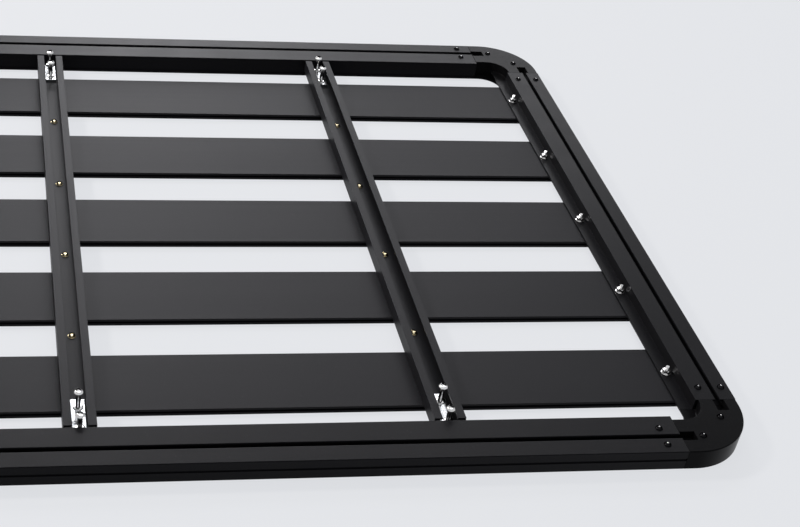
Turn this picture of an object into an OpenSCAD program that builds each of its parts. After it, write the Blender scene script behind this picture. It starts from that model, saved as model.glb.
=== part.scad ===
/* [Frame] */
// Overall length of the rack, along X
rack_l = 2000; // [1700:10:2400]
// Overall width of the rack, along Y
rack_w = 1240; // [1150:10:1400]
// Height of the rails and the corner castings
rail_h = 34; // [32:1:45]
// Width of the two long side rails
side_rail_w = 78; // [72:1:90]
// Width of the two end rails
end_rail_w = 65; // [60:1:76]
// Wall of the rail extrusions
rail_wall = 3; // [2.5:0.5:3.5]
// Strip of a side rail outside its T-slot
side_strip_w = 30; // [26:1:34]
// Strip of an end rail outside its T-slot
end_strip_w = 25; // [22:1:26]
// Height of the groove along a rail's outer face
face_groove_h = 4; // [2:0.5:6]
// Depth of the groove along a rail's outer face
face_groove_d = 2; // [1:0.5:2.5]
// Drop from the rail's top to the middle of that groove
face_groove_drop = 16; // [14:1:20]
// Reach of the flange at the foot of a side rail
flange_w = 3; // [2:1:12]
// Reach of the ledge that lies over the plank ends and runs on along the castings
ledge_w = 20; // [18:1:30]
// Thickness of the flange and the ledge
ledge_t = 3; // [2:0.5:4]

/* [T-slots] */
// Width of a T-slot's mouth
slot_w = 8; // [6:0.5:10]
// Width of a T-slot's chamber
chamber_w = 18; // [15:1:19]
// Height of a T-slot's chamber
chamber_h = 9; // [7:0.5:12]
// Width of the pocket where a T-bolt drops in
pocket_w = 18; // [15:0.5:19]
// Length of that pocket
pocket_l = 24; // [20:1:32]

/* [Corners] */
// Length of a corner casting along a side rail
arm_l = 120; // [118:1:150]
// Length of a corner casting along an end rail
end_arm_l = 113; // [112:1:150]
// Outer radius of a corner
corner_r = 102; // [90:1:114]
// Inner radius of a corner
corner_in_r = 40; // [30:1:42]
// Inner radius of the castings' foot, which carries on from the side rails' flange
foot_in_r = 40; // [30:1:42]
// Step between a side rail's inner edge and the casting
arm_step = 8; // [0:1:10]
// Step between an end rail's inner edge and the casting
end_arm_step = 4; // [0:1:7]

/* [Planks] */
// Width of a plank
plank_w = 124; // [100:1:140]
// Thickness of a plank
plank_t = 12; // [10:0.5:14]
// Wall of the plank extrusions
plank_wall = 2; // [1.5:0.5:2.5]
// Gap between an outer plank and its side rail
plank_side_gap = 58; // [50:0.5:80]
// Height of the groove in a plank's long edge
edge_groove_h = 4; // [3:0.5:5]
// Depth of the groove in a plank's long edge
edge_groove_d = 7; // [5:0.5:9]

/* [Channels] */
// Distance between neighbouring cross channels
channel_pitch = 540; // [450:1:600]
// Width of a cross channel
channel_w = 48; // [46:1:60]
// Width of the slot in a cross channel
channel_slot_w = 23; // [20:1:26]
// Wall of the cross channels
channel_wall = 3; // [2:0.5:4]
// Gap between a channel's end and the side rail
channel_end_gap = 4; // [1:0.5:8]

/* [Mounting plates] */
// Length of a mounting plate
plate_l = 70; // [66:1:84]
// Width of a mounting plate
plate_w = 20; // [18:1:30]
// Thickness of a mounting plate
plate_t = 5; // [4:0.5:6]
// Distance between the two bolts of a plate
bolt_pitch = 46; // [30:1:46]
// Distance from a plate's outer end to its first bolt
bolt_edge = 8; // [8:0.5:12]
// Shank diameter of a mounting bolt
bolt_d = 7.5; // [6:0.5:8]
// Head diameter of a mounting bolt
bolt_head_d = 14.5; // [13:0.5:16]
// Shank showing between washer and head, on a plate's inner bolt
inner_stand = 27; // [15:1:45]
// Shank showing between washer and head, on a plate's outer bolt
outer_stand = 24; // [15:1:45]

/* [Small fasteners] */
// Shank diameter of the gap screws and the plank bolts
screw_d = 6; // [5:0.5:6]
// Head diameter of a gap screw
screw_head_d = 11; // [10:0.5:12]
// Width of the clamp bar under a gap screw
clamp_w = 30; // [20:1:44]
// Distance from an end rail to its plank bolts
plank_bolt_in = 10; // [9.5:0.5:11]
// Thread showing above a plank bolt's nut
thread_show = 8; // [4:0.5:12]

/* [Hidden] */

// A cut runs this far past the face that it opens
past = 1;
// Radial clearance of a shank in its hole
hole_gap = 0.1;
// Play of a clamp bar in the bottom of a plank's groove
clamp_gap = 0.3;
// Facets of round pieces
round_fn = 48;
corner_fn = 120;

plank_count = 5;
gap_count = plank_count - 1;
cells = 4;

inner_w = rack_w - 2 * side_rail_w;
inner_l = rack_l - 2 * end_rail_w;
arm_w = side_rail_w - arm_step;
end_arm_w = end_rail_w - end_arm_step;
plank_pitch = (inner_w - 2 * plank_side_gap - plank_w) / gap_count;
gap_w = plank_pitch - plank_w;
groove_z = (plank_t - edge_groove_h) / 2;

channel_l = inner_w - 2 * channel_end_gap;
channel_h = rail_h - plank_t;
floor_top = plank_t + channel_wall;
plate_top = floor_top + plate_t;

washer_t = 1.6;
bolt_washer_d = bolt_head_d + 1;
bolt_head_h = 4.4;
screw_head_h = 3.3;
nut_t = 5;
nut_across = 10;
nut_washer_d = 14;
sunk_h = 3.3;

// Place of plank number i, counted from the far side
function plank_y(i) = (gap_count / 2 - i) * plank_pitch;
// Place of the gap between planks i and i + 1
function gap_y(i) = plank_y(i) - plank_pitch / 2;

module rail_profile(w, strip) {
    slot_mid = strip + slot_w / 2;
    roof = rail_h - rail_wall;
    chamber_z = roof - chamber_h;
    cell_h = roof - rail_wall;
    left_cell = rail_wall + face_groove_d;
    chamber_l = slot_mid - chamber_w / 2;
    chamber_r = slot_mid + chamber_w / 2;
    difference() {
        square([w, rail_h]);
        translate([strip, chamber_z]) square([slot_w, chamber_h + rail_wall + past]);
        translate([chamber_l, chamber_z]) square([chamber_w, chamber_h]);
        translate([-past, rail_h - face_groove_drop - face_groove_h / 2])
            square([face_groove_d + past, face_groove_h]);
        translate([left_cell, rail_wall]) square([chamber_l - rail_wall - left_cell, cell_h]);
        translate([chamber_l, rail_wall]) square([chamber_w, chamber_z - 2 * rail_wall]);
        translate([chamber_r + rail_wall, rail_wall])
            square([w - 2 * rail_wall - chamber_r, cell_h]);
    }
}

module side_rail() {
    color("#26272b")
    translate([0, -rack_w / 2, 0]) rotate([90, 0, 90])
    linear_extrude(rack_l - 2 * arm_l, center = true) {
        rail_profile(side_rail_w, side_strip_w);
        translate([side_rail_w - rail_wall, 0]) square([flange_w + rail_wall, ledge_t]);
    }
}

module end_rail() {
    color("#26272b")
    difference() {
        translate([-rack_l / 2, 0, 0]) rotate([90, 0, 0])
        linear_extrude(rack_w - 2 * end_arm_l, center = true) {
            rail_profile(end_rail_w, end_strip_w);
            translate([end_rail_w - rail_wall, plank_t]) square([ledge_w + rail_wall, ledge_t]);
        }
        for (i = [0 : plank_count - 1])
            translate([-inner_l / 2 + plank_bolt_in, plank_y(i), plank_t - past])
                cylinder(h = ledge_t + 2 * past, d = screw_d + 2 * hole_gap, $fn = round_fn);
    }
}

// Corner seen from above, its outer corner at the origin and the rack towards +X and +Y
module corner_outline(end_w, side_w, in_r) {
    difference() {
        square([arm_l, end_arm_l]);
        difference() {
            translate([-past, -past]) square([corner_r + past, corner_r + past]);
            translate([corner_r, corner_r]) circle(r = corner_r, $fn = corner_fn);
        }
        difference() {
            translate([end_w, side_w]) square([arm_l, end_arm_l]);
            difference() {
                translate([end_w - past, side_w - past]) square([in_r + past, in_r + past]);
                translate([end_w + in_r, side_w + in_r]) circle(r = in_r, $fn = corner_fn);
            }
        }
    }
}

module corner() {
    foot_w = end_rail_w + ledge_w / 2;
    pocket_z = rail_h - rail_wall - chamber_h;
    side_mid = side_strip_w + slot_w / 2;
    end_mid = end_strip_w + slot_w / 2;
    color("#1f2023")
    translate([-rack_l / 2, -rack_w / 2, 0])
    difference() {
        union() {
            linear_extrude(rail_h) corner_outline(end_arm_w, arm_w, corner_in_r);
            linear_extrude(ledge_t)
                corner_outline(foot_w, side_rail_w + flange_w, foot_in_r);
            translate([end_arm_w - past, arm_w - past, plank_t])
                cube([end_arm_step + ledge_w + past, end_arm_l - arm_w + past, ledge_t]);
        }
        translate([arm_l - pocket_l, side_mid - pocket_w / 2, pocket_z])
            cube([pocket_l + past, pocket_w, rail_h]);
        translate([end_mid - pocket_w / 2, end_arm_l - pocket_l, pocket_z])
            cube([pocket_w, pocket_l + past, rail_h]);
    }
}

module plank_profile() {
    solid_edge = edge_groove_d + plank_wall;
    cell_w = (plank_w - 2 * solid_edge - (cells - 1) * plank_wall) / cells;
    difference() {
        translate([-plank_w / 2, 0]) square([plank_w, plank_t]);
        for (side = [-1, 1])
            translate([side * plank_w / 2 - edge_groove_d, groove_z])
                square([2 * edge_groove_d, edge_groove_h]);
        for (i = [0 : cells - 1])
            translate([solid_edge - plank_w / 2 + i * (cell_w + plank_wall), plank_wall])
                square([cell_w, plank_t - 2 * plank_wall]);
    }
}

module plank(i) {
    color("#3a3b40")
    difference() {
        translate([0, plank_y(i), 0]) rotate([90, 0, 90])
            linear_extrude(inner_l, center = true) plank_profile();
        for (side = [-1, 1])
            translate([side * (inner_l / 2 - plank_bolt_in), plank_y(i), 0]) {
                translate([0, 0, -past])
                    cylinder(h = plank_t + 2 * past, d = screw_d + 2 * hole_gap, $fn = round_fn);
                sunk_cone(hole_gap);
            }
    }
}

// Cone of a countersunk head, with its wide end on the deck face
module sunk_cone(extra) {
    cylinder(h = sunk_h, d1 = 2 * screw_d + 2 * extra, d2 = screw_d + 2 * extra, $fn = round_fn);
}

module channel(x) {
    color("#33343a")
    difference() {
        translate([x - channel_w / 2, -channel_l / 2, plank_t])
            cube([channel_w, channel_l, channel_h]);
        translate([x - channel_w / 2 + channel_wall, -channel_l / 2 - past, floor_top])
            cube([channel_w - 2 * channel_wall, channel_l + 2 * past, channel_h - 2 * channel_wall]);
        translate([x - channel_slot_w / 2, -channel_l / 2 - past, floor_top])
            cube([channel_slot_w, channel_l + 2 * past, channel_h]);
        for (i = [0 : gap_count - 1])
            translate([x, gap_y(i), plank_t - past])
                cylinder(h = channel_wall + 2 * past, d = screw_d + 2 * hole_gap, $fn = round_fn);
    }
}

// Places of a plate's inner and outer bolt, counted inwards from the channel's end
bolt_places = [bolt_edge + bolt_pitch, bolt_edge];

// The near plate of the channel at x, resting on the channel's floor
module plate(x) {
    color("#d6d8da")
    translate([x, -channel_l / 2, floor_top])
    difference() {
        translate([-plate_w / 2, 0, 0]) cube([plate_w, plate_l, plate_t]);
        for (y = bolt_places)
            translate([0, y, -past])
                cylinder(h = plate_t + 2 * past, d = bolt_d + 2 * hole_gap, $fn = round_fn);
    }
}

// Low domed head with a hexagon socket, its underside at z = 0
module button_head(d, h, socket) {
    dome_r = (d * d / 4 + h * h) / (2 * h);
    difference() {
        rotate_extrude($fn = round_fn) intersection() {
            translate([0, h - dome_r]) circle(r = dome_r, $fn = corner_fn);
            square([d, h]);
        }
        translate([0, 0, h / 2]) cylinder(h = h, d = socket, $fn = 6);
    }
}

module washer(d_out, d_in) {
    difference() {
        cylinder(h = washer_t, d = d_out, $fn = round_fn);
        translate([0, 0, -past]) cylinder(h = washer_t + 2 * past, d = d_in, $fn = round_fn);
    }
}

// The two bolts of the near plate, each with its washer
module bolts(x) {
    stands = [inner_stand, outer_stand];
    color("#c9cbcd")
    for (i = [0, 1])
        translate([x, bolt_places[i] - channel_l / 2, floor_top]) {
            cylinder(h = plate_t + washer_t + stands[i], d = bolt_d, $fn = round_fn);
            translate([0, 0, plate_t]) washer(bolt_washer_d, bolt_d);
            translate([0, 0, plate_t + washer_t + stands[i]])
                button_head(bolt_head_d, bolt_head_h, bolt_d);
        }
}

// Bars in the planks' edge grooves, one across each gap under the channel at x
module clamps(x) {
    bar_l = gap_w + 2 * (edge_groove_d - clamp_gap);
    color("#9a9ca0")
    for (i = [0 : gap_count - 1])
        translate([x, gap_y(i), groove_z])
        difference() {
            translate([-clamp_w / 2, -bar_l / 2, 0]) cube([clamp_w, bar_l, edge_groove_h]);
            translate([0, 0, -past])
                cylinder(h = edge_groove_h + 2 * past, d = screw_d + 2 * hole_gap, $fn = round_fn);
        }
}

module gap_screws(x) {
    color("#b99a4a")
    for (i = [0 : gap_count - 1])
        translate([x, gap_y(i), groove_z]) {
            cylinder(h = floor_top - groove_z, d = screw_d, $fn = round_fn);
            translate([0, 0, floor_top - groove_z])
                button_head(screw_head_d, screw_head_h, screw_d * 2 / 3);
        }
}

// Countersunk bolts through the plank ends and the ledge of the left end rail
module plank_bolts() {
    ledge_top = plank_t + ledge_t;
    color("#cfd1d3")
    for (i = [0 : plank_count - 1])
        translate([-inner_l / 2 + plank_bolt_in, plank_y(i), 0]) {
            sunk_cone(0);
            cylinder(h = ledge_top + washer_t + nut_t + thread_show, d = screw_d, $fn = round_fn);
            translate([0, 0, ledge_top]) washer(nut_washer_d, screw_d);
            translate([0, 0, ledge_top + washer_t])
                cylinder(h = nut_t, d = nut_across / cos(30), $fn = 6);
        }
}

module far() { mirror([0, 1, 0]) children(); }
module right() { mirror([1, 0, 0]) children(); }

side_rail();  // side_rail_near
far() side_rail();  // side_rail_far
end_rail();  // end_rail_left
right() end_rail();  // end_rail_right
corner();  // corner_near_left
right() corner();  // corner_near_right
far() corner();  // corner_far_left
far() right() corner();  // corner_far_right
plank(0);  // plank_1
plank(1);  // plank_2
plank(2);  // plank_3
plank(3);  // plank_4
plank(4);  // plank_5
channel(-channel_pitch);  // channel_left
channel(0);  // channel_centre
channel(channel_pitch);  // channel_right
plate(-channel_pitch);  // plate_left_near
far() plate(-channel_pitch);  // plate_left_far
plate(0);  // plate_centre_near
far() plate(0);  // plate_centre_far
plate(channel_pitch);  // plate_right_near
far() plate(channel_pitch);  // plate_right_far
bolts(-channel_pitch);  // bolts_left_near
far() bolts(-channel_pitch);  // bolts_left_far
bolts(0);  // bolts_centre_near
far() bolts(0);  // bolts_centre_far
bolts(channel_pitch);  // bolts_right_near
far() bolts(channel_pitch);  // bolts_right_far
clamps(-channel_pitch);  // clamps_left
clamps(0);  // clamps_centre
clamps(channel_pitch);  // clamps_right
gap_screws(-channel_pitch);  // gap_screws_left
gap_screws(0);  // gap_screws_centre
gap_screws(channel_pitch);  // gap_screws_right
plank_bolts();  // plank_bolts_left
right() plank_bolts();  // plank_bolts_right
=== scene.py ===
import math

import bpy
import bmesh
from mathutils import Matrix, Vector


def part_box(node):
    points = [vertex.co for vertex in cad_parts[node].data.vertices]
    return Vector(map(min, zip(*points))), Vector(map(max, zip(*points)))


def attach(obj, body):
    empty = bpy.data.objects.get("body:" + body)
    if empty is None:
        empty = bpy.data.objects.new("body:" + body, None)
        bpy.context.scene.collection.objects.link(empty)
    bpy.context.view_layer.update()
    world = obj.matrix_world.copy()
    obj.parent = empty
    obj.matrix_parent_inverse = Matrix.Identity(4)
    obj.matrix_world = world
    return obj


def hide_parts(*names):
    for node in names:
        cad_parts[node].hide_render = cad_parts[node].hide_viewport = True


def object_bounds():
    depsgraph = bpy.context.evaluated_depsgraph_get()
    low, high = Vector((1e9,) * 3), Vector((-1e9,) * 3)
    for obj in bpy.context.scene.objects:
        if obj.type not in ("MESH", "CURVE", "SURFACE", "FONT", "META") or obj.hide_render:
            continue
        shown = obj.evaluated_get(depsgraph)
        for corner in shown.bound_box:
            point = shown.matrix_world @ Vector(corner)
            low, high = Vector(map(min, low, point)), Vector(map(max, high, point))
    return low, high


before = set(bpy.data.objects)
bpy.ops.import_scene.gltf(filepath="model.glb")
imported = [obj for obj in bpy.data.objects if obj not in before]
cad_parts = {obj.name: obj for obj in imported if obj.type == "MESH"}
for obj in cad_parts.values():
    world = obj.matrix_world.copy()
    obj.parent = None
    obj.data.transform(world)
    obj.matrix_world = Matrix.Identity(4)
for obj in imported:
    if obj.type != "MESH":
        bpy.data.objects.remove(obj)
cad_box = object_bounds()

MM = 0.001

# Corners: places of the rivets and slots, counted inwards from the outer edges
CORNER_R = 102 * MM
SIDE_SLOT_MID = 34 * MM
END_SLOT_MID = 29 * MM
POCKET_L = 24 * MM
SIDE_RIVET_PAST_POCKET = 11 * MM
END_RIVET_PAST_POCKET = 15 * MM
END_RIVET_INWARD = 12 * MM
RAIL_RIVET_IN = 28 * MM
SIDE_RIVET_SPREAD = 17.5 * MM
END_RIVET_OUTER = 16.5 * MM
END_RIVET_INNER = 21 * MM

# Rivets and the pins in them
RIVET_D = 11 * MM
RIVET_H = 3.4 * MM
PIN_D = 2.3 * MM
PIN_H = 0.5 * MM

# Mounting bolts
BOLT_D = 7.5 * MM
BOLT_PITCH = 1.25 * MM
THREAD_DEPTH = 0.4 * MM
HEAD_D = 14.5 * MM
HEAD_H = 4.4 * MM
HEAD_SOCKET = 8 * MM
HEAD_SOCKET_DEPTH = 3.5 * MM
THREAD_ABOVE_WASHER = 6 * MM
WASHER_T = 1.6 * MM
WASHER_D = 15.5 * MM
PLATE_T = 5 * MM
BOLT_EDGE = 8 * MM
BOLT_SPACING = 46 * MM
INNER_STAND = 27 * MM
OUTER_STAND = 24 * MM

# Yellow screws in the channel floors
SCREW_D = 6 * MM
SCREW_PITCH = 1 * MM
SCREW_HEAD_D = 11 * MM
SCREW_HEAD_H = 3.3 * MM
YELLOW_SOCKET = 6 * MM
YELLOW_SOCKET_DEPTH = 2.4 * MM
YELLOW_WASHER_D = 13 * MM
YELLOW_WASHER_T = 1 * MM
YELLOW_NECK = 1.2 * MM
CHANNEL_WALL = 3 * MM

# Bolts through the plank ends
LEDGE_T = 3 * MM
PLANK_BOLT_IN = 10 * MM
NUT_ACROSS = 11 * MM
NUT_T = 5 * MM
NUT_BALL = 0.62
NUT_WASHER_D = 15.5 * MM
THREAD_SHOW = 7 * MM
SUNK_H = 3.3 * MM
SUNK_SOCKET = 4 * MM
SUNK_SOCKET_DEPTH = 2 * MM

# Share of a socket's width that its walls lie within; faces within it get painted shade
SOCKET_REACH = 0.51

# Radii of the rounded edges
RAIL_EDGE = 0.6 * MM
CASTING_EDGE = 0.8 * MM
SHEET_EDGE = 0.5 * MM
CLAMP_EDGE = 0.4 * MM
SEAM_EDGE = 1.2 * MM
RIM_EDGE = 2.2 * MM
COVE_R = 5 * MM
HEAD_EDGE = 0.35 * MM
SHANK_EDGE = 0.3 * MM
NUT_EDGE = 0.2 * MM

# Angles in degrees, and how near two places count as one
FLAT_ANGLE = 0.5
EDGE_ANGLE = 35
HEAD_EDGE_ANGLE = 40
NUT_EDGE_ANGLE = 30
SMOOTH_ANGLE = 35
THREAD_SMOOTH_ANGLE = 25
WELD = 0.002 * MM
THREAD_WELD = 0.1 * MM
THREAD_JOIN = 0.02 * MM
CLOSE = 0.1 * MM
WITHIN = 0.2 * MM
ARC_WITHIN = 1 * MM

# Sides of the round forms
ROUND_SIDES = 40
THREAD_SIDES = 20
PIN_SIDES = 20

CHANNELS = ("left", "centre", "right")
PLANKS = ("plank_1", "plank_2", "plank_3", "plank_4", "plank_5")
CORNERS = ("near_left", "near_right", "far_left", "far_right")

# Camera
LENS = 67.56
SENSOR = 36
SHIFT = 0.22
SIGHT = 200
CAMERA_PLACE = (-0.144, -2.105, 1.465)
CAMERA_HEADING = -11.58
CAMERA_DOWN = 35.72
CAMERA_LEAN = 6.75

# Studio: the pale background, the light that fills the shadows, the floor's share of the background
PALE = (0.762, 0.777, 0.808)
WHITE = (1, 1, 1)
FILL = 0.4
FLOOR_SIZE = 60
FLOOR_SHARE = 0.88

# Lamps: name, place, aim, width and height, power, colour
COOL = (0.97, 0.965, 1)
WARM = (1, 0.94, 0.88)
LAMPS = (
    ("back", (0.0, 5.4, 4.0), (0.0, 0.3, 0), (2.0, 1.4), 140, COOL),
    ("back_right", (2.5, 5.4, 4.0), (2.0, 0.3, 0), (2.0, 1.4), 38, COOL),
    ("far_corner", (2.9, 5.4, 2.7), (0.9, 0.55, 0), (1.2, 0.8), 12, COOL),
    ("low_back", (1.1, 6.0, 1.9), (1.1, 0.3, 0), (1.5, 2.0), 54, COOL),
    ("left", (-3.2, 1.6, 3.0), (0.2, 0, 0), (0.5, 0.5), 180, WARM),
    ("overhead", (0.4, -0.3, 3.2), (0, 0, 0), (3.0, 2.2), 20, WHITE),
)

# Powder coats; die_lines is the noise's stretch along an extrusion
COATS = {
    "rail": dict(
        name="black_rail_coat", dark=(0.006, 0.006, 0.007), light=(0.008, 0.008, 0.0092),
        roughness=(0.39, 0.44), specular=0.185, tint=0),
    "end_rail": dict(
        name="black_end_rail_coat", dark=(0.006, 0.006, 0.007), light=(0.008, 0.008, 0.0092),
        roughness=(0.32, 0.38), specular=0.11, tint=0),
    "casting": dict(
        name="black_casting_coat", dark=(0.003, 0.003, 0.0034), light=(0.005, 0.005, 0.0056),
        roughness=(0.28, 0.34), specular=0.07, tint=0),
    "plank": dict(
        name="black_plank_coat", dark=(0.007, 0.007, 0.0084), light=(0.009, 0.009, 0.0106),
        roughness=(0.45, 0.48), specular=0.115, tint=0.6, die_lines=(1.2, 180, 180)),
    "channel": dict(
        name="black_channel_coat", dark=(0.007, 0.007, 0.0084), light=(0.009, 0.009, 0.0106),
        roughness=(0.42, 0.45), specular=0.12, tint=0.5, die_lines=(180, 1.2, 180)),
}

# Metals; edge is the tint of the reflection at a grazing angle
METALS = {
    "rivet": dict(
        name="black_rivet", dark=(0.006, 0.006, 0.0065), light=(0.01, 0.01, 0.0105),
        roughness=(0.16, 0.22), scale=120, edge=0),
    "polished": dict(
        name="polished_plate", dark=(0.80, 0.81, 0.82), light=(0.88, 0.89, 0.90),
        roughness=(0.08, 0.18), stretch=(900, 12, 900), scale=1, edge=0.1),
    "steel": dict(
        name="bright_steel", dark=(0.62, 0.61, 0.60), light=(0.80, 0.79, 0.78),
        roughness=(0.06, 0.14), scale=260, edge=0),
    "zinc": dict(
        name="plain_zinc", dark=(0.40, 0.41, 0.42), light=(0.52, 0.53, 0.54),
        roughness=(0.32, 0.5), scale=120, edge=0.1),
    "yellow": dict(
        name="yellow_zinc", dark=(0.58, 0.48, 0.29), light=(0.78, 0.68, 0.46),
        roughness=(0.12, 0.24), scale=200, edge=0.1),
}

# Noise scales and strengths that all coats or all metals share
COAT_CLOUDS = 2.2
COAT_PATCHES = 14
COAT_GRAIN = 900
COAT_BUMP = (0.22, 0.12 * MM)
SPECKS = 520
SPECK_COLOUR = (0.16, 0.16, 0.165)
SPECK_SHARE = 0.12
SPECK_FROM, SPECK_TO = 0.68, 0.76
METAL_CLOUDS = 35
METAL_BUMP = (0.12, 0.05 * MM)
# Painted shade: near-black colour painted into the sockets of the heads, where shade falls
PAINTED_SOCKET_SHADE = (0.03, 0.03, 0.03)


# Selecting and finishing

def pick(*objects):
    bpy.ops.object.select_all(action="DESELECT")
    for obj in objects:
        obj.select_set(True)
    bpy.context.view_layer.objects.active = objects[0]


def editing(obj, *steps):
    pick(obj)
    bpy.ops.object.mode_set(mode="EDIT")
    for step in steps:
        step()
    bpy.ops.object.mode_set(mode="OBJECT")


def apply_modifier(obj, kind, **settings):
    modifier = obj.modifiers.new(kind.lower(), kind)
    for key, value in settings.items():
        setattr(modifier, key, value)
    pick(obj)
    bpy.ops.object.modifier_apply(modifier=modifier.name)


def round_edges(obj, width, segments=2, angle=HEAD_EDGE_ANGLE, **settings):
    apply_modifier(obj, "BEVEL", limit_method="ANGLE", angle_limit=math.radians(angle),
                   width=width, segments=segments, **settings)


def settle(obj):
    pick(obj)
    bpy.ops.object.transform_apply(location=True, rotation=True, scale=True)


def smooth(obj, degrees=SMOOTH_ANGLE):
    pick(obj)
    bpy.ops.object.shade_smooth_by_angle(angle=math.radians(degrees))


def joined(name, parts):
    pick(*parts)
    if len(parts) > 1:
        bpy.ops.object.join()
    whole = bpy.context.view_layer.objects.active
    whole.name = name
    whole.data.name = name
    settle(whole)
    return whole


def copied(obj, move=(0, 0, 0)):
    twin = obj.copy()
    twin.data = obj.data.copy()
    bpy.context.scene.collection.objects.link(twin)
    twin.data.transform(Matrix.Translation(move))
    return twin


def lifted(obj, height):
    obj.data.transform(Matrix.Translation((0, 0, height)))
    return obj


def scrap(*objects):
    for obj in objects:
        bpy.data.objects.remove(obj)


def finish_piece(piece, material, slot, *nodes):
    piece.data.materials.clear()
    piece.data.materials.append(material)
    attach(piece, "root")
    if nodes:
        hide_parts(*nodes)


# Places read from the frame

RAIL_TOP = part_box("side_rail_near")[1].z
LEDGE_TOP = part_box(PLANKS[0])[1].z + LEDGE_T
SEAM_X = -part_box("corner_near_left")[1].x
SEAM_Y = -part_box("corner_near_left")[1].y


def middle(node, axis):
    low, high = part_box(node)
    return (low[axis] + high[axis]) / 2


def rivet_places():
    low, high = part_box("corner_near_left")
    arm_x, arm_y = high.x - low.x, high.y - low.y
    from_corner = [
        (arm_x - POCKET_L - SIDE_RIVET_PAST_POCKET, SIDE_SLOT_MID),
        (END_SLOT_MID + END_RIVET_INWARD, arm_y - POCKET_L - END_RIVET_PAST_POCKET),
        (arm_x + RAIL_RIVET_IN, SIDE_SLOT_MID - SIDE_RIVET_SPREAD),
        (arm_x + RAIL_RIVET_IN, SIDE_SLOT_MID + SIDE_RIVET_SPREAD),
        (END_SLOT_MID - END_RIVET_OUTER, arm_y + RAIL_RIVET_IN),
        (END_SLOT_MID + END_RIVET_INNER, arm_y + RAIL_RIVET_IN),
    ]
    return [(low.x + x, low.y + y) for x, y in from_corner]


# Edges of rails and castings that get a radius of their own

def seam_edge(edge):
    ends = [vert.co for vert in edge.verts]
    on_top = max(abs(end.z - RAIL_TOP) for end in ends) < CLOSE
    across_x = max(abs(abs(end.x) - SEAM_X) for end in ends) < CLOSE
    across_y = max(abs(abs(end.y) - SEAM_Y) for end in ends) < CLOSE
    return on_top and (across_x or across_y)


def top_outer_rim(edge):
    reach_x, reach_y = cad_box[1][0], cad_box[1][1]
    start, end = edge.verts[0].co, edge.verts[1].co
    mid = (start + end) / 2
    if abs(mid.z - RAIL_TOP) >= WITHIN or abs(start.z - end.z) >= CLOSE:
        return False
    corner_x, corner_y = reach_x - CORNER_R, reach_y - CORNER_R
    if abs(mid.x) > corner_x and abs(mid.y) > corner_y:
        out = math.hypot(abs(mid.x) - corner_x, abs(mid.y) - corner_y)
        return abs(out - CORNER_R) < ARC_WITHIN
    return abs(abs(mid.x) - reach_x) < WITHIN or abs(abs(mid.y) - reach_y) < WITHIN


def ledge_cove(edge):
    heights = [vert.co.z for vert in edge.verts]
    return not edge.is_convex and max(abs(z - LEDGE_TOP) for z in heights) < CLOSE


SPECIAL_EDGES = ((SEAM_EDGE, seam_edge), (RIM_EDGE, top_outer_rim), (COVE_R, ledge_cove))


# Extrusions and castings: the construction's own form, with its edges rounded

def rounded_copy(node, name, edge_radius, special=()):
    piece = copied(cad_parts[node])
    for key in list(piece.keys()):
        del piece[key]
    piece.parent = None
    piece.matrix_world = Matrix.Identity(4)
    piece.name = name
    piece.data.name = name
    editing(
        piece,
        lambda: bpy.ops.mesh.select_all(action="SELECT"),
        lambda: bpy.ops.mesh.remove_doubles(threshold=WELD),
        lambda: bpy.ops.mesh.dissolve_limited(angle_limit=math.radians(FLAT_ANGLE)),
    )
    widest = max([edge_radius] + [radius for radius, test in special])
    shape = bmesh.new()
    shape.from_mesh(piece.data)
    weight = shape.edges.layers.float.new("bevel_weight_edge")
    for edge in shape.edges:
        if len(edge.link_faces) == 2 and edge.calc_face_angle() > math.radians(EDGE_ANGLE):
            radius = next((radius for radius, test in special if test(edge)), edge_radius)
            edge[weight] = radius / widest
    shape.to_mesh(piece.data)
    shape.free()
    apply_modifier(piece, "BEVEL", limit_method="WEIGHT", width=widest, segments=3,
                   use_clamp_overlap=True)
    smooth(piece)
    apply_modifier(piece, "WEIGHTED_NORMAL", mode="FACE_AREA", weight=90, keep_sharp=True)
    return piece


# Fasteners, each modelled once about its own axis

def cylinder(sides, radius, depth, height):
    bpy.ops.mesh.primitive_cylinder_add(
        vertices=sides, radius=radius, depth=depth, location=(0, 0, height))
    solid = bpy.context.object
    settle(solid)
    return solid


def threaded_shank(diameter, pitch, length):
    crest, root = diameter / 2, diameter / 2 - THREAD_DEPTH
    flanks = []
    for low_r, high_r, height in ((root, crest, pitch / 4), (crest, root, 3 * pitch / 4)):
        bpy.ops.mesh.primitive_cone_add(
            vertices=THREAD_SIDES, radius1=low_r, radius2=high_r, depth=pitch / 2,
            location=(0, 0, height), end_fill_type="NOTHING")
        flanks.append(bpy.context.object)
    shank = joined("shank", flanks)
    turns = int(length / pitch)
    apply_modifier(
        shank, "ARRAY", count=turns, use_relative_offset=False, use_constant_offset=True,
        constant_offset_displace=(0, 0, length / turns), use_merge_vertices=True,
        merge_threshold=THREAD_JOIN)
    editing(
        shank,
        lambda: bpy.ops.mesh.select_all(action="SELECT"),
        lambda: bpy.ops.mesh.remove_doubles(threshold=THREAD_WELD),
        lambda: bpy.ops.mesh.select_all(action="DESELECT"),
        lambda: bpy.ops.mesh.select_non_manifold(extend=False),
        lambda: bpy.ops.mesh.fill_holes(sides=0),
        lambda: bpy.ops.mesh.select_all(action="SELECT"),
        lambda: bpy.ops.mesh.normals_make_consistent(inside=False),
    )
    smooth(shank, THREAD_SMOOTH_ANGLE)
    return shank


def plain_shank(diameter, start, end):
    shank = cylinder(ROUND_SIDES, diameter / 2, end - start, (start + end) / 2)
    round_edges(shank, SHANK_EDGE)
    smooth(shank)
    return shank


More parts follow.
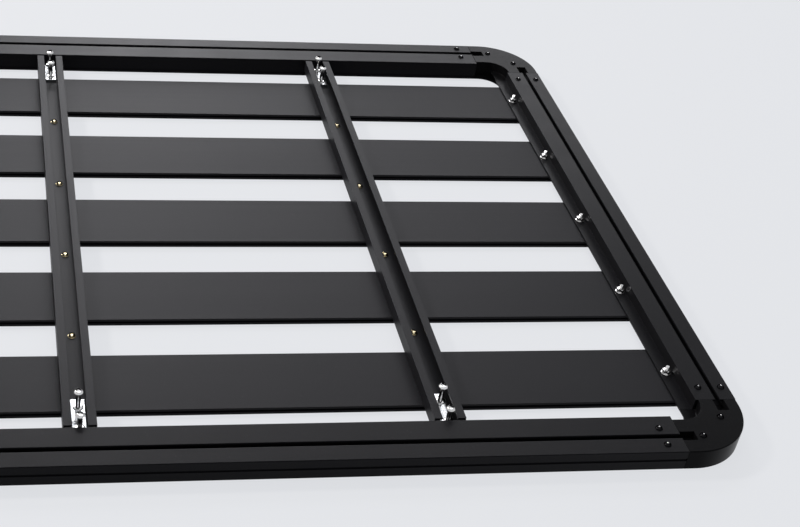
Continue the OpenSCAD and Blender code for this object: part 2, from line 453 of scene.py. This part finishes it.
def socketed(head, across, depth, top):
    bpy.ops.mesh.primitive_cylinder_add(
        vertices=6, radius=across / math.sqrt(3), depth=2 * depth, location=(0, 0, top))
    key = bpy.context.object
    apply_modifier(head, "BOOLEAN", object=key, operation="DIFFERENCE", solver="EXACT")
    scrap(key)
    # Faces inside the socket are marked for painted shade: a dark colour that stands in for the
    # shade in it
    reach = across * SOCKET_REACH
    painted_socket_shade = head.data.attributes.new("painted_socket_shade", "FLOAT", "FACE")
    for face in head.data.polygons:
        off_axis = math.hypot(face.center.x, face.center.y)
        inside = off_axis < reach and abs(face.center.z - top) < depth
        painted_socket_shade.data[face.index].value = 1 if inside else 0


def upper_half(ball):
    editing(
        ball,
        lambda: bpy.ops.mesh.select_all(action="SELECT"),
        lambda: bpy.ops.mesh.bisect(
            plane_co=(0, 0, 0), plane_no=(0, 0, 1), use_fill=True, clear_inner=True),
    )


def button_head(diameter, height, socket, depth):
    dome_r = (diameter ** 2 / 4 + height ** 2) / (2 * height)
    bpy.ops.mesh.primitive_uv_sphere_add(
        segments=ROUND_SIDES, ring_count=40, radius=dome_r, location=(0, 0, height - dome_r))
    head = bpy.context.object
    settle(head)
    upper_half(head)
    socketed(head, socket, depth, height)
    round_edges(head, HEAD_EDGE, use_clamp_overlap=True)
    smooth(head)
    return head


def sunk_head(shank_d, height):
    bpy.ops.mesh.primitive_cone_add(
        vertices=ROUND_SIDES, radius1=shank_d, radius2=shank_d / 2, depth=height,
        location=(0, 0, height / 2))
    head = bpy.context.object
    settle(head)
    socketed(head, SUNK_SOCKET, SUNK_SOCKET_DEPTH, 0)
    smooth(head)
    return head


def washer(diameter, thickness):
    disc = cylinder(ROUND_SIDES, diameter / 2, thickness, thickness / 2)
    round_edges(disc, HEAD_EDGE)
    smooth(disc)
    return disc


def hex_nut(across, thickness):
    nut = cylinder(6, across / math.sqrt(3), thickness, thickness / 2)
    bpy.ops.mesh.primitive_uv_sphere_add(
        segments=36, ring_count=24, radius=across * NUT_BALL, location=(0, 0, thickness / 2))
    ball = bpy.context.object
    settle(ball)
    apply_modifier(nut, "BOOLEAN", object=ball, operation="INTERSECT", solver="EXACT")
    scrap(ball)
    round_edges(nut, NUT_EDGE, angle=NUT_EDGE_ANGLE)
    smooth(nut)
    return nut


def mounting_bolt(stand):
    seat = PLATE_T + WASHER_T
    thread_end = seat + THREAD_ABOVE_WASHER
    head = button_head(HEAD_D, HEAD_H, HEAD_SOCKET, HEAD_SOCKET_DEPTH)
    parts = [
        threaded_shank(BOLT_D, BOLT_PITCH, thread_end),
        plain_shank(BOLT_D, thread_end - BOLT_PITCH / 2, seat + stand),
        lifted(washer(WASHER_D, WASHER_T), PLATE_T),
        lifted(head, seat + stand),
    ]
    return joined("mounting_bolt", parts)


def gap_screw(length):
    head_seat = length + YELLOW_WASHER_T + YELLOW_NECK
    head = button_head(SCREW_HEAD_D, SCREW_HEAD_H, YELLOW_SOCKET, YELLOW_SOCKET_DEPTH)
    parts = [
        threaded_shank(SCREW_D, SCREW_PITCH, head_seat),
        lifted(washer(YELLOW_WASHER_D, YELLOW_WASHER_T), length),
        lifted(head, head_seat),
    ]
    return joined("gap_screw", parts)


def plank_bolt(ledge_top):
    length = ledge_top + WASHER_T + NUT_T + THREAD_SHOW
    parts = [
        lifted(threaded_shank(SCREW_D, SCREW_PITCH, length - SUNK_H), SUNK_H),
        sunk_head(SCREW_D, SUNK_H),
        lifted(washer(NUT_WASHER_D, WASHER_T), ledge_top),
        lifted(hex_nut(NUT_ACROSS, NUT_T), ledge_top + WASHER_T),
    ]
    return joined("plank_bolt", parts)


def rivet():
    bpy.ops.mesh.primitive_uv_sphere_add(segments=24, ring_count=16, radius=RIVET_D / 2)
    dome = bpy.context.object
    upper_half(dome)
    dome.scale = (1, 1, RIVET_H / (RIVET_D / 2))
    settle(dome)
    smooth(dome)
    return dome


def rivet_pin():
    pin = cylinder(PIN_SIDES, PIN_D / 2, 2 * PIN_H, 0)
    round_edges(pin, SHANK_EDGE, segments=3)
    smooth(pin)
    return pin


# Materials

def new_material(name):
    material = bpy.data.materials.new(name)
    material.use_nodes = True
    tree = material.node_tree
    return material, tree, tree.nodes["Principled BSDF"]


def noise(tree, scale, detail, stretch=None):
    coords = tree.nodes.new("ShaderNodeTexCoord")
    texture = tree.nodes.new("ShaderNodeTexNoise")
    texture.inputs["Scale"].default_value = scale
    texture.inputs["Detail"].default_value = detail
    source = coords.outputs["Object"]
    if stretch:
        mapping = tree.nodes.new("ShaderNodeMapping")
        mapping.inputs["Scale"].default_value = stretch
        tree.links.new(source, mapping.inputs["Vector"])
        source = mapping.outputs["Vector"]
    tree.links.new(source, texture.inputs["Vector"])
    return texture.outputs["Fac"]


def ranged(tree, value, low, high, from_low=0.3, from_high=0.7):
    node = tree.nodes.new("ShaderNodeMapRange")
    node.inputs["From Min"].default_value = from_low
    node.inputs["From Max"].default_value = from_high
    node.inputs["To Min"].default_value = low
    node.inputs["To Max"].default_value = high
    tree.links.new(value, node.inputs["Value"])
    return node.outputs["Result"]


def mixed(tree, factor, first, second):
    node = tree.nodes.new("ShaderNodeMix")
    node.data_type = "RGBA"
    tree.links.new(factor, node.inputs["Factor"])
    for socket, colour in ((node.inputs[6], first), (node.inputs[7], second)):
        if isinstance(colour, tuple):
            socket.default_value = (*colour, 1)
        else:
            tree.links.new(colour, socket)
    return node.outputs[2]


def bumped(tree, shader, height, strength, distance):
    node = tree.nodes.new("ShaderNodeBump")
    node.inputs["Strength"].default_value = strength
    node.inputs["Distance"].default_value = distance
    tree.links.new(height, node.inputs["Height"])
    tree.links.new(node.outputs["Normal"], shader.inputs["Normal"])


def powder_coat(name, dark, light, roughness, specular, tint, die_lines=None):
    material, tree, shader = new_material(name)
    broad = ranged(tree, noise(tree, COAT_CLOUDS, 4), 0, 1)
    colour = mixed(tree, broad, dark, light)
    specks = ranged(tree, noise(tree, SPECKS, 2), 0, SPECK_SHARE, SPECK_FROM, SPECK_TO)
    colour = mixed(tree, specks, colour, SPECK_COLOUR)
    tree.links.new(colour, shader.inputs["Base Color"])
    if die_lines:
        patches = noise(tree, 1, 3, die_lines)
    else:
        patches = noise(tree, COAT_PATCHES, 4)
    tree.links.new(ranged(tree, patches, *roughness), shader.inputs["Roughness"])
    shader.inputs["Specular IOR Level"].default_value = specular
    shader.inputs["Specular Tint"].default_value = (tint, tint, tint, 1)
    bumped(tree, shader, noise(tree, COAT_GRAIN, 2), *COAT_BUMP)
    return material


def bright_metal(name, dark, light, roughness, scale, edge, stretch=(1, 1, 1)):
    material, tree, shader = new_material(name)
    colour = mixed(tree, ranged(tree, noise(tree, METAL_CLOUDS, 4), 0, 1), dark, light)
    # Painted shade: faces marked inside a socket get a near-black colour in place of the shade in
    # it
    painted_socket_shade = tree.nodes.new("ShaderNodeAttribute")
    painted_socket_shade.attribute_name = "painted_socket_shade"
    colour = mixed(tree, painted_socket_shade.outputs["Fac"], colour, PAINTED_SOCKET_SHADE)
    tree.links.new(colour, shader.inputs["Base Color"])
    brushed = noise(tree, scale, 5, stretch)
    tree.links.new(ranged(tree, brushed, *roughness), shader.inputs["Roughness"])
    shader.inputs["Metallic"].default_value = 1
    shader.inputs["Specular Tint"].default_value = (edge, edge, edge, 1)
    bumped(tree, shader, brushed, *METAL_BUMP)
    return material


# Stage

def larger(tree, first, second):
    node = tree.nodes.new("ShaderNodeMath")
    node.operation = "MAXIMUM"
    tree.links.new(first, node.inputs[0])
    tree.links.new(second, node.inputs[1])
    return node.outputs[0]


def seen_ray(tree):
    path = tree.nodes.new("ShaderNodeLightPath")
    either = larger(tree, path.outputs["Is Camera Ray"], path.outputs["Is Glossy Ray"])
    return larger(tree, either, path.outputs["Is Transmission Ray"])


def floor_material():
    material = bpy.data.materials.new("pale_floor")
    material.use_nodes = True
    tree = material.node_tree
    tree.nodes.clear()
    out = tree.nodes.new("ShaderNodeOutputMaterial")
    paint = tree.nodes.new("ShaderNodeBsdfDiffuse")
    paint.inputs["Color"].default_value = (*PALE, 1)
    glow = tree.nodes.new("ShaderNodeEmission")
    glow.inputs["Color"].default_value = (*PALE, 1)
    glow.inputs["Strength"].default_value = 1
    share = tree.nodes.new("ShaderNodeMath")
    share.operation = "MULTIPLY"
    share.inputs[1].default_value = FLOOR_SHARE
    tree.links.new(seen_ray(tree), share.inputs[0])
    blend = tree.nodes.new("ShaderNodeMixShader")
    tree.links.new(share.outputs[0], blend.inputs[0])
    tree.links.new(paint.outputs[0], blend.inputs[1])
    tree.links.new(glow.outputs[0], blend.inputs[2])
    tree.links.new(blend.outputs[0], out.inputs["Surface"])
    return material


def build_floor():
    bpy.ops.object.select_all(action="DESELECT")
    bpy.ops.mesh.primitive_plane_add(size=FLOOR_SIZE, location=(0, 0, 0))
    floor = bpy.context.object
    floor.name = "floor"
    floor.data.materials.append(floor_material())


def build_world():
    world = bpy.data.worlds.new("studio")
    bpy.context.scene.world = world
    world.use_nodes = True
    tree = world.node_tree
    tree.nodes.clear()
    out = tree.nodes.new("ShaderNodeOutputWorld")
    fill = tree.nodes.new("ShaderNodeBackground")
    fill.inputs["Color"].default_value = (*WHITE, 1)
    fill.inputs["Strength"].default_value = FILL
    shown = tree.nodes.new("ShaderNodeBackground")
    shown.inputs["Color"].default_value = (*PALE, 1)
    shown.inputs["Strength"].default_value = 1
    blend = tree.nodes.new("ShaderNodeMixShader")
    tree.links.new(seen_ray(tree), blend.inputs[0])
    tree.links.new(fill.outputs[0], blend.inputs[1])
    tree.links.new(shown.outputs[0], blend.inputs[2])
    tree.links.new(blend.outputs[0], out.inputs["Surface"])


def soft_light(name, place, aim, size, power, colour):
    data = bpy.data.lights.new(name, "AREA")
    data.color = colour
    data.shape = "RECTANGLE"
    data.size, data.size_y = size
    data.energy = power
    lamp = bpy.data.objects.new(name, data)
    bpy.context.scene.collection.objects.link(lamp)
    lamp.location = place
    lamp.rotation_euler = (Vector(aim) - Vector(place)).to_track_quat("-Z", "Y").to_euler()


def build_camera():
    data = bpy.data.cameras.new("camera")
    data.lens = LENS
    data.sensor_width = SENSOR
    data.shift_x = SHIFT
    data.clip_end = SIGHT
    camera = bpy.data.objects.new("camera", data)
    bpy.context.scene.collection.objects.link(camera)
    camera.matrix_world = (
        Matrix.Translation(CAMERA_PLACE)
        @ Matrix.Rotation(math.radians(CAMERA_HEADING), 4, "Z")
        @ Matrix.Rotation(math.pi / 2 - math.radians(CAMERA_DOWN), 4, "X")
        @ Matrix.Rotation(math.radians(CAMERA_LEAN), 4, "Z"))
    bpy.context.scene.camera = camera


# The rack

def build_frame(coats, metals):
    for node in ("side_rail_near", "side_rail_far", "end_rail_left", "end_rail_right"):
        coat = coats["end_rail" if node.startswith("end") else "rail"]
        rail = rounded_copy(node, node + "_extrusion", RAIL_EDGE, SPECIAL_EDGES)
        finish_piece(rail, coat, "rail", node)
    dome, pin = rivet(), rivet_pin()
    for corner in CORNERS:
        node = "corner_" + corner
        casting = rounded_copy(
            node, "corner_casting_" + corner, CASTING_EDGE, SPECIAL_EDGES)
        finish_piece(casting, coats["casting"], "casting", node)
        side_x = -1 if corner.endswith("left") else 1
        side_y = -1 if corner.startswith("near") else 1
        places = [(-side_x * x, -side_y * y) for x, y in rivet_places()]
        heads = [copied(dome, (x, y, RAIL_TOP)) for x, y in places]
        finish_piece(joined("rivets_" + corner, heads), metals["rivet"], "casting")
        pins = [copied(pin, (x, y, RAIL_TOP + RIVET_H)) for x, y in places]
        finish_piece(joined("rivet_pins_" + corner, pins), metals["steel"], "bolt")
    scrap(dome, pin)


def build_deck(coats, metals):
    for node in PLANKS:
        board = rounded_copy(node, node + "_board", SHEET_EDGE)
        finish_piece(board, coats["plank"], "plank", node)
    for place in CHANNELS:
        channel = rounded_copy("channel_" + place, "cross_channel_" + place, SHEET_EDGE)
        finish_piece(channel, coats["channel"], "channel", "channel_" + place)
        bars = rounded_copy("clamps_" + place, "clamp_bars_" + place, CLAMP_EDGE)
        finish_piece(bars, metals["zinc"], "clamp", "clamps_" + place)


def build_mountings(metals):
    inner = mounting_bolt(INNER_STAND)
    outer = mounting_bolt(OUTER_STAND)
    for place in CHANNELS:
        x = middle("channel_" + place, 0)
        low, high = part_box("channel_" + place)
        base = low.z + CHANNEL_WALL
        for end, edge, inward in (("near", low.y, 1), ("far", high.y, -1)):
            node = f"{place}_{end}"
            plate = rounded_copy("plate_" + node, "mounting_plate_" + node, SHEET_EDGE)
            finish_piece(plate, metals["polished"], "plate", "plate_" + node)
            pair = [
                copied(outer, (x, edge + inward * BOLT_EDGE, base)),
                copied(inner, (x, edge + inward * (BOLT_EDGE + BOLT_SPACING), base)),
            ]
            bolts = joined("mounting_bolts_" + node, pair)
            finish_piece(bolts, metals["steel"], "bolt", "bolts_" + node)
    scrap(inner, outer)


def build_small_fasteners(metals):
    groove_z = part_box("clamps_left")[0].z
    floor_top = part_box("channel_left")[0].z + CHANNEL_WALL
    screw = gap_screw(floor_top - groove_z)
    gaps = [(middle(a, 1) + middle(b, 1)) / 2 for a, b in zip(PLANKS, PLANKS[1:])]
    for place in CHANNELS:
        x = middle("channel_" + place, 0)
        row = joined("yellow_screws_" + place, [copied(screw, (x, y, groove_z)) for y in gaps])
        finish_piece(row, metals["yellow"], "gap_screw", "gap_screws_" + place)
    bolt = plank_bolt(LEDGE_TOP)
    low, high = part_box(PLANKS[0])
    for side, x in (("left", low.x + PLANK_BOLT_IN), ("right", high.x - PLANK_BOLT_IN)):
        bolts = [copied(bolt, (x, middle(plank, 1), 0)) for plank in PLANKS]
        row = joined("plank_end_bolts_" + side, bolts)
        finish_piece(row, metals["steel"], "bolt", "plank_bolts_" + side)
    scrap(screw, bolt)


def main():
    build_camera()
    build_world()
    build_floor()
    for lamp in LAMPS:
        soft_light(*lamp)
    coats = {key: powder_coat(**look) for key, look in COATS.items()}
    metals = {key: bright_metal(**look) for key, look in METALS.items()}
    build_frame(coats, metals)
    build_deck(coats, metals)
    build_mountings(metals)
    build_small_fasteners(metals)
    bpy.context.scene.view_settings.view_transform = "Standard"


main()
